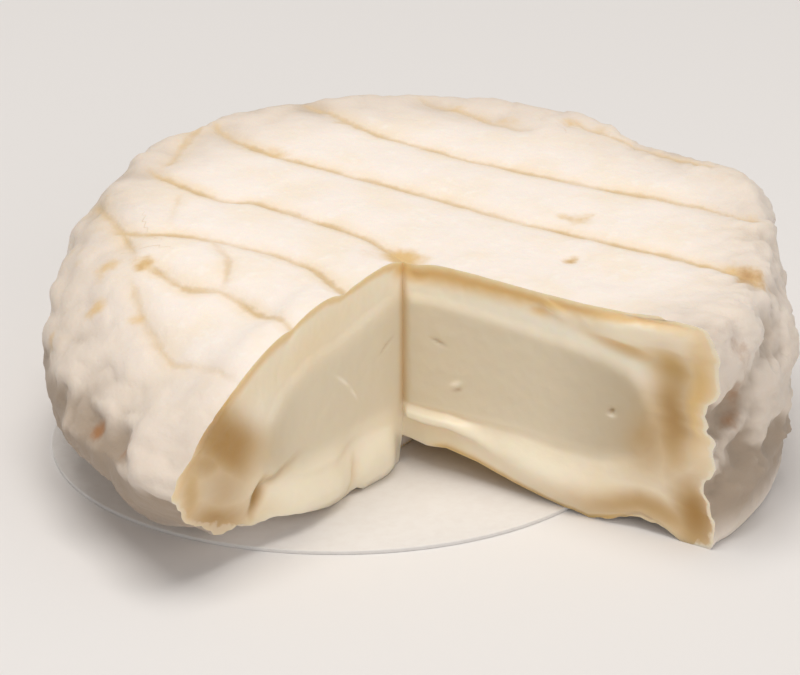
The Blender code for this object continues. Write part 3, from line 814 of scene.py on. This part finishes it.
def groove_field(plan, lines, wander):
    """Signed distance to the nearest groove, how strong that one is, and the depth pressed in."""
    nearest, signed = np.full(len(plan), 1.0), np.full(len(plan), 1.0)
    strength, pressed = np.zeros(len(plan)), np.zeros(len(plan))
    for depth, *line in lines:
        away, side, along = beside_line(plan, smooth_line(line))
        offset = away * side + wander
        away = np.abs(offset)
        depth = depth * ease(along / GROOVE_TAPER) * ease((along.max() - along) / GROOVE_TAPER)
        nearer = away < nearest
        nearest = np.where(nearer, away, nearest)
        signed = np.where(nearer, offset, signed)
        strength = np.where(nearer, depth, strength)
        profile = sum(share * bell(away / half_width) for half_width, share in GROOVE_PROFILE)
        pressed = np.maximum(pressed, depth * MM * profile)
    return signed, strength * ease((GROOVE_FADE - nearest) / GROOVE_EDGE), pressed


def in_span(azimuth, comes, goes):
    """One within a span of directions, with soft ends."""
    return between(azimuth, *comes) * between(azimuth, *goes)


def tinted(height, azimuth, strength, heights, span):
    """A painted shade or painted light on the side, by height and within a span of directions."""
    return strength * between(height, *heights) * in_span(azimuth, *span)


def wrinkled(wheel, crease, azimuth):
    """The creases, clefts, pimples and furrows of the side."""
    at_right = in_span(azimuth, *AT_RIGHT)
    clefts = ease(1 - np.abs(crease) * CLEFT_SHARPNESS)
    furrows = ease(1 - np.abs(rough(wheel.points, *FURROWS)) * FURROW_SHARPNESS)
    wrinkle = (CREASE_HEIGHT + CREASE_AT_RIGHT * at_right) * crease - CLEFT_DEPTH * clefts
    wrinkle += PIMPLE_HEIGHT * rough(wheel.points, *PIMPLES)
    return wrinkle - (FURROW_DEPTH + FURROW_AT_RIGHT * at_right) * furrows


def print_rind(wheel):
    """The rack's grooves, the pillows between them and the small wrinkles, with their tints, and the
    painted shade and light of the side.
    """
    points, mesh = wheel.points, wheel.mesh
    facing = wheel.rind_normals()
    plan, height, upward = points[:, :2], points[:, 2] / MM, facing[:, 2]
    azimuth, from_apex = np.arctan2(points[:, 1], points[:, 0]), (plan - APEX) / MM
    on_top = between(upward, *TOP_FACING) * wheel.skin
    wander = WANDER_WIDTH * MM * rough(points, *WANDER)
    groove = np.zeros(len(points))
    for name, lines in GROOVES.items():
        signed, strength, pressed = groove_field(plan, lines, wander)
        groove = np.maximum(groove, pressed)
        paint(mesh, name + " gap", signed / MM)
        paint(mesh, name + " strength", strength * on_top)
    crease = rough(points, *CREASES)
    move = (PILLOW_HEIGHT * MM * rough(points, *PILLOWS) - groove) * on_top
    move += wrinkled(wheel, crease, azimuth) * MM * wheel.on_side * wheel.skin
    torn = rough(points, *TORN)
    for name, (amount, heights) in TORN_RIMS.items():
        along, outward = into_notch(name)
        near = bell(from_apex @ outward / TORN_REACH) * between(from_apex @ along, *TORN_FROM)
        move += amount * MM * torn * near * wheel.skin * between(height, *heights)
    brown, golden = np.zeros(len(points)), np.zeros(len(points))
    for *place, radius, depth, browner, yellower in SPOTS:
        away = np.linalg.norm((points / MM - np.array(place)) * np.array([1, 1, SPOT_FLAT]), axis=1)
        near = bell(away * (1 + SPOT_RAGGED * crease) / radius)
        move -= depth * MM * near * wheel.skin
        brown, golden = np.maximum((brown, golden), np.outer((browner, yellower), near))
    downward, near_apex = ARCH_GOLD
    under_arch = between(upward, *downward) * between(np.hypot(*from_apex.T), *near_apex)
    strength, (upright, spread), direction = SHOULDER_GOLD
    shoulder = bell((upward - upright) / spread) * ease(crease + 0.5)
    shoulder *= strength * towards(azimuth, *direction)
    paint(mesh, "browned rind", brown)
    paint(mesh, "golden rind", np.maximum.reduce([golden, under_arch, shoulder]))
    # The side's greyer tint, taken off the right-hand shoulder as painted light.
    paint(mesh, "side", wheel.on_side * (1 - tinted(height, azimuth, *PAINTED_LIGHT_SHOULDER)))
    # Painted shade: low on the right-hand side, down the left-hand side and under its tuck, and deeper in
    # the rind's hollows.
    shade = tinted(height, azimuth, *RIGHT_SHADE)
    for strength, heights, direction in LEFT_SHADES:
        shade += strength * between(height, *heights) * towards(azimuth, *direction)
    paint(mesh, "painted_shade", PAINTED_SHADE_MIDDLE + shade - (move + FOLD_SHARE * wheel.fold) / MM)
    wheel.points = points + wheel.spread_over_cuts(facing * move[:, None])


def mark_cut(wheel, name, ragged):
    """One cut's relief in millimetres, and how browned, golden, pale and firm it is."""
    face = wheel.on_cut[name]
    here = np.stack([wheel.reach, wheel.height], -1)[face]
    reach, height = here.T / MM
    under = wheel.under_rind[face] / MM
    inside_heart = depth_inside(here, np.array(HEART_OUTLINES[name])) / MM
    stops, depths, half_widths, shares = np.array(GOLDEN_LINES[name]).T
    gap = under - np.interp(reach, stops, depths) + GOLDEN_RAGGED * ragged[face]
    line = bell(gap / np.interp(reach, stops, half_widths)) * between(height, *GOLDEN_HEIGHTS)
    line *= np.interp(reach, stops, shares)
    comes, goes = UNDER_RIM_REACHES
    low_rim = bell(under / UNDER_RIM_THICK) * between(height, *UNDER_RIM_HEIGHTS)
    low_rim *= UNDER_RIM[name] * between(reach, *comes) * between(reach, *goes)
    apex = bell(reach / APEX_LINE) * between(height, *APEX_HEIGHTS)
    # The pale band round the heart: partly a paler cream, partly a painted highlight along the heart's
    # edge.
    glow_place, glow_width = GLOW[name]
    pale = bell((inside_heart + glow_place) / glow_width) * between(height, *GLOW_HEIGHTS)
    brown = np.maximum.reduce([GOLDEN_BROWN * line, UNDER_RIM_BROWN * low_rim, APEX_BROWN * apex])
    golden = np.maximum.reduce([line, low_rim, APEX_GOLDEN * apex])
    out = HEART_RISE * between(inside_heart, *HEART_EDGE) - GOLDEN_SINK * line
    for out_to, up_to, half_long, half_high, turn, power, relief, *tints in CUT_MARKS[name]:
        cos, sin = math.cos(math.radians(turn)), math.sin(math.radians(turn))
        right, up = reach - out_to, height - up_to
        along, over = (right * cos + up * sin) / half_long, (up * cos - right * sin) / half_high
        near = np.exp(-np.abs(along) ** power - np.abs(over) ** power)
        out = out + relief * near
        brown, golden, pale = np.maximum((brown, golden, pale), np.outer(tints, near))
    out = out + CUT_ROUGHNESS * ragged[face]
    out = np.where(out < 0, out * between(under, *RIM_CALM), out) * ease(reach / APEX_CALM[name])
    return out, brown, golden, pale, inside_heart / HEART_SOFTNESS[name]


def work_cuts(wheel):
    """The relief of the cut faces, and where the paste is firm, golden, browned or pale, and where
    painted shade darkens the firm heart.
    """
    ragged = rough(wheel.points, *RAGGED)
    heart = np.full(len(ragged), NO_HEART)
    brown, golden, pale, white = (np.zeros(len(ragged)) for _ in range(4))
    for name, face in wheel.on_cut.items():
        out, brown[face], golden[face], pale[face], heart[face] = mark_cut(wheel, name, ragged)
        wheel.points[face, :2] += into_notch(name)[1] * (out * MM)[:, None]
    reach, height, under = wheel.reach / MM, wheel.height / MM, wheel.under_rind / MM
    for name, (reaches, heights, share) in CRUSTED.items():
        face = wheel.on_cut[name]
        white[face] = share
        kept = between(reach[face], *reaches) * between(height[face], *heights)
        under[face] += NO_CRUST * (1 - kept)
    # One of these is painted shade: the firm heart darker towards its far end.
    tints = {
        "heart": heart, "browned": brown, "golden": golden, "pale": pale,
        "under rind": under, "white crust": white, "painted_end_shade": between(reach, *END_SHADE_REACHES),
    }
    for name, values in tints.items():
        paint(wheel.mesh, name, values)


def paint(mesh, name, values):
    """Keep one value for every vertex under a name."""
    layer = mesh.attributes.new(name, "FLOAT", "POINT")
    layer.data.foreach_set("value", values.astype(np.float32))


def cheese_piece():
    """The whole cheese, shaped and painted."""
    piece = spun_blank()
    piece.name = piece.data.name = "cheese"
    wheel = Wheel(piece)
    fold_rind(wheel)
    lift_foot(wheel)
    sag_cuts(wheel)
    print_rind(wheel)
    work_cuts(wheel)
    points = wheel.points + np.array([*WHEEL_CENTRE, 0])
    low, high = (np.array(corner) for corner in cad_box)
    put(wheel.mesh, np.clip(points, low + NEAR_NOTHING, high - NEAR_NOTHING))
    piece.data.materials.append(bloomy_rind())
    piece.data.materials.append(ripe_paste())
    piece.data.polygons.foreach_set("material_index", wheel.face_is_cut.astype(np.int32))
    piece.data.update()
    bpy.ops.object.shade_smooth_by_angle(angle=math.radians(55))
    return piece


def add_node(tree, kind, settings=None, inputs=None, output=0):
    """Add a shader node with its settings, and its inputs given a value or a link."""
    node = tree.nodes.new("ShaderNode" + kind)
    for name, value in (settings or {}).items():
        setattr(node, name, value)
    for key, value in (inputs or {}).items():
        if isinstance(value, bpy.types.NodeSocket):
            tree.links.new(value, node.inputs[key])
        else:
            node.inputs[key].default_value = value
    return node.outputs[output]


def per(millimetres):
    """The texture scale whose features are this size."""
    return 1 / (millimetres * MM)


def new_material(name, values):
    """A named material, with the shader's even values set."""
    made = bpy.data.materials.new(name)
    made.use_nodes = True
    shader = made.node_tree.nodes["Principled BSDF"]
    for key, value in values.items():
        shader.inputs[key].default_value = value
    return made, made.node_tree, shader


def read_values(tree, *names):
    """The painted values of the mesh, by name."""
    return [add_node(tree, "Attribute", {"attribute_name": name}, output="Fac") for name in names]


def layered(tree, colour, *layers):
    """Colours laid over one another, each where its mask lets it show."""
    for mask, over in layers:
        inputs = {"Factor": mask, 6: colour, 7: linear(over)}
        colour = add_node(tree, "Mix", {"data_type": "RGBA"}, inputs, 2)
    return colour


def bloomy_rind():
    """Rind of white mould: matt and velvety, ivory on top and greyer pink down the side, with painted
    shade in its hollows and low on the sides, and painted light on the right-hand shoulder.
    """
    made, tree, shader = new_material("bloomy goat's cheese rind", {
        "Roughness": 0.72, "IOR": 1.45, "Sheen Weight": 0.12, "Sheen Roughness": 0.6,
        "Subsurface Weight": 0.12, "Subsurface Radius": (1.0, 0.62, 0.36),
        "Subsurface Scale": 1.6 * MM,
    })
    spot = add_node(tree, "TexCoord", output="Object")
    side, painted_shade = read_values(tree, "side", "painted_shade")

    # Patches where the mould is thinner, its tufts, and its nap, which is drawn several times
    # coarser than it is, so that it shows.
    patches, tufts, nap = (
        add_node(tree, "TexNoise", None, {"Vector": spot, "Scale": per(size), "Detail": detail})
        for size, detail in ((5.5, 4.0), (1.4, 5.0), (0.45, 4.0))
    )
    patchy, speckled, dent_shade = (
        add_node(
            tree, "MapRange", SMOOTH,
            {"Value": value, "From Min": low, "From Max": high, "To Max": most},
        )
        for value, low, high, most in (
            (patches, 0.42, 0.66, 0.8), (tufts, 0.52, 0.75, 0.5), (painted_shade, 0.5, 1.7, 0.9),
        )
    )
    # Down the side the rind turns greyer, and painted shade darkens it in its hollows and where it turns
    # from the light.
    greyer, dent_shade_on_side = (
        add_node(tree, "Math", MULTIPLY, {0: side, 1: share}) for share in (0.88, dent_shade)
    )

    # Each groove is a wide pale stain with a narrow darker line in it, both of uneven strength.
    uneven = add_node(
        tree, "MapRange", None,
        {"Value": patches, "From Min": 0.35, "From Max": 0.6, "To Min": 0.55, "To Max": 1.5},
    )
    stains = []
    for reach, share in ((2.2, 0.9), (0.95, 1.3)):
        shown = []
        for kind in GROOVES:
            gap, strength = read_values(tree, kind + " gap", kind + " strength")
            away = add_node(tree, "Math", {"operation": "ABSOLUTE"}, {0: gap})
            wavy = add_node(tree, "Math", MULTIPLY_ADD, {0: tufts, 1: 0.7, 2: away})
            near = add_node(
                tree, "MapRange", SMOOTH,
                {"Value": wavy, "From Min": reach, "From Max": 0.32, "To Max": share},
            )
            shown.append(add_node(tree, "Math", MULTIPLY, {0: near, 1: strength}))
        joined = add_node(tree, "Math", {"operation": "MAXIMUM"}, dict(enumerate(shown)))
        stains.append(
            add_node(tree, "Math", MULTIPLY | {"use_clamp": True}, {0: joined, 1: uneven})
        )
    blotches = []
    for stain in read_values(tree, "golden rind", "browned rind"):
        ragged = add_node(tree, "Math", MULTIPLY_ADD, {0: tufts, 1: 0.75, 2: stain})
        blotches.append(
            add_node(tree, "MapRange", SMOOTH, {"Value": ragged, "From Min": 0.53, "From Max": 1.2})
        )
    # The greyish brown laid over the side's hollows is painted shade.
    colour = layered(
        tree, linear("#f8ede3"), (patchy, "#f6e8d6"), (speckled, "#fcf6ee"), (greyer, "#ddcfc0"),
        (dent_shade_on_side, "#a28f7b"), (stains[0], "#efd9b9"), (stains[1], "#d9bd92"),
        (blotches[0], "#dfbd84"), (blotches[1], "#a3744a"),
    )
    tree.links.new(colour, shader.inputs["Base Color"])
    height = add_node(tree, "Math", MULTIPLY_ADD, {0: nap, 1: 0.35, 2: tufts})
    height = add_node(tree, "Math", MULTIPLY_ADD, {0: stains[1], 1: -0.9, 2: height})
    bump = add_node(
        tree, "Bump", None, {"Height": height, "Strength": 0.55, "Distance": 0.22 * MM}
    )
    tree.links.new(bump, shader.inputs["Normal"])
    return made


def ripe_paste():
    """Cut goat's cheese: a chalky matt heart, and a ripe outer paste that shines a little."""
    made, tree, shader = new_material("cut goat's milk paste", {
        "IOR": 1.42, "Coat Weight": 0.08, "Coat Roughness": 0.25, "Subsurface Weight": 0.35,
        "Subsurface Radius": (1.0, 0.66, 0.34), "Subsurface Scale": 2.2 * MM,
    })
    spot = add_node(tree, "TexCoord", output="Object")
    heart, brown, golden, pale, under, white, painted_end_shade = read_values(
        tree, "heart", "browned", "golden", "pale", "under rind", "white crust", "painted_end_shade"
    )

    # Clouds in the ripe paste, and the curd's grain, drawn as coarse as it needs to show.
    clouds, grain = (
        add_node(tree, "TexNoise", None, {"Vector": spot, "Scale": per(size), "Detail": detail})
        for size, detail in ((4.0, 3.0), (0.8, 5.0))
    )
    ragged = add_node(tree, "Math", MULTIPLY_ADD, {0: grain, 1: -1.1, 2: under})
    firm, cloudy, crust = (
        add_node(
            tree, "MapRange", SMOOTH,
            {"Value": value, "From Min": low, "From Max": high, "To Max": most},
        )
        for value, low, high, most in (
            (heart, -1.1, 1.3, 1.0), (clouds, 0.4, 0.7, 0.35), (ragged, 0.08, -0.32, white),
        )
    )
    # Painted shade: the firm heart darker and greyer towards its far end.
    greyer = add_node(tree, "Math", MULTIPLY, {0: firm, 1: painted_end_shade})
    # The palest cream lies on the bulges, the torn shred and the band round the heart, where it is partly
    # a painted highlight.
    colour = layered(
        tree, linear("#f6e8cf"), (cloudy, "#f0ddb8"), (firm, "#e4d7be"), (greyer, "#c9b99d"),
        (pale, "#fef3df"), (golden, "#efcd8e"), (brown, "#b0874a"), (crust, "#f2e5d0"),
    )
    tree.links.new(colour, shader.inputs["Base Color"])
    dull = add_node(tree, "MapRange", None, {"Value": firm, "To Min": 0.36, "To Max": 0.62})
    tree.links.new(dull, shader.inputs["Roughness"])
    bump = add_node(tree, "Bump", None, {"Height": grain, "Strength": 0.35, "Distance": 0.10 * MM})
    tree.links.new(bump, shader.inputs["Normal"])
    return made


def white_card():
    """Coated white board: smooth and satin, with a faint fibre drawn coarse enough to show."""
    made, tree, shader = new_material("coated white card", {"Roughness": 0.5, "IOR": 1.5})
    spot = add_node(tree, "TexCoord", output="Object")
    fibre = add_node(tree, "TexNoise", None, {"Vector": spot, "Scale": per(0.9), "Detail": 4.0})
    mask = add_node(
        tree, "MapRange", None, {"Value": fibre, "From Min": 0.4, "From Max": 0.7, "To Max": 0.5}
    )
    colour = layered(tree, linear("#e5e2df"), (mask, "#dfdad6"))
    tree.links.new(colour, shader.inputs["Base Color"])
    bump = add_node(tree, "Bump", None, {"Height": fibre, "Strength": 0.2, "Distance": 0.04 * MM})
    tree.links.new(bump, shader.inputs["Normal"])
    return made


def card_piece():
    """The round of card: a thin disc with softened edges."""
    bpy.ops.object.select_all(action="DESELECT")
    bpy.ops.mesh.primitive_cylinder_add(
        vertices=240, radius=0.5, depth=1,
        location=(card_high + card_low) / 2, scale=card_high - card_low,
    )
    piece = bpy.context.object
    bpy.ops.object.transform_apply(location=True, rotation=True, scale=True)
    piece.name = piece.data.name = "card"
    bevel = piece.modifiers.new("soft edge", "BEVEL")
    bevel.width = 0.08 * MM
    bevel.segments = 2
    bpy.ops.object.modifier_apply(modifier=bevel.name)
    bpy.ops.object.shade_smooth_by_angle(angle=math.radians(50))
    piece.data.materials.append(white_card())
    return piece


def area_light(name, place, size, power, colour):
    """A soft square light that shines on the cheese."""
    data = bpy.data.lights.new(name, "AREA")
    data.size, data.energy, data.color = size, power, linear(colour)[:3]
    lamp = bpy.data.objects.new(name, data)
    lamp.location = place
    lamp.rotation_euler = (LIGHT_AIM - Vector(place)).to_track_quat("-Z", "Y").to_euler()
    bpy.context.scene.collection.objects.link(lamp)


def studio():
    """Pale floor, soft light and camera."""
    bpy.ops.object.select_all(action="DESELECT")
    bpy.ops.mesh.primitive_plane_add(size=4.0, location=(0, 0, 0))
    floor = bpy.context.object
    floor.name = "floor"
    floor.data.materials.append(
        new_material("pale matt floor", {"Base Color": linear("#e8e6e5"), "Roughness": 0.9})[0]
    )
    world = bpy.data.worlds.new("studio")
    bpy.context.scene.world = world
    world.use_nodes = True
    background = world.node_tree.nodes["Background"]
    background.inputs["Color"].default_value = linear("#f4f2f0")
    background.inputs["Strength"].default_value = 0.40
    area_light("overhead softbox", (-0.06, -0.04, 0.62), 0.42, 2.60, "#fffaf4")
    area_light("front fill", (0.30, -0.60, 0.30), 0.5, 1.15, "#ffffff")
    bpy.context.scene.view_settings.view_transform = "Standard"
    view = bpy.data.cameras.new("camera")
    view.lens = CAMERA_LENS
    view.clip_start = 0.01
    camera = bpy.data.objects.new("camera", view)
    back = Vector((0, -math.cos(CAMERA_ELEVATION), math.sin(CAMERA_ELEVATION)))
    camera.location = CAMERA_AIM + back * CAMERA_DISTANCE
    camera.rotation_euler = (-back).to_track_quat("-Z", "Y").to_euler()
    bpy.context.scene.collection.objects.link(camera)
    bpy.context.scene.camera = camera


card_low, card_high = (np.array(corner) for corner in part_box("card_round"))
CARD_MIDDLE = ((card_low + card_high) / 2)[:2] - WHEEL_CENTRE
CARD_HALF = ((card_high - card_low) / 2)[:2]

cheese = cheese_piece()
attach(cheese, "root")
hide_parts("ripe_paste_and_rind", "firm_heart")

card = card_piece()
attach(card, "root")
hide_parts("card_round")

studio()
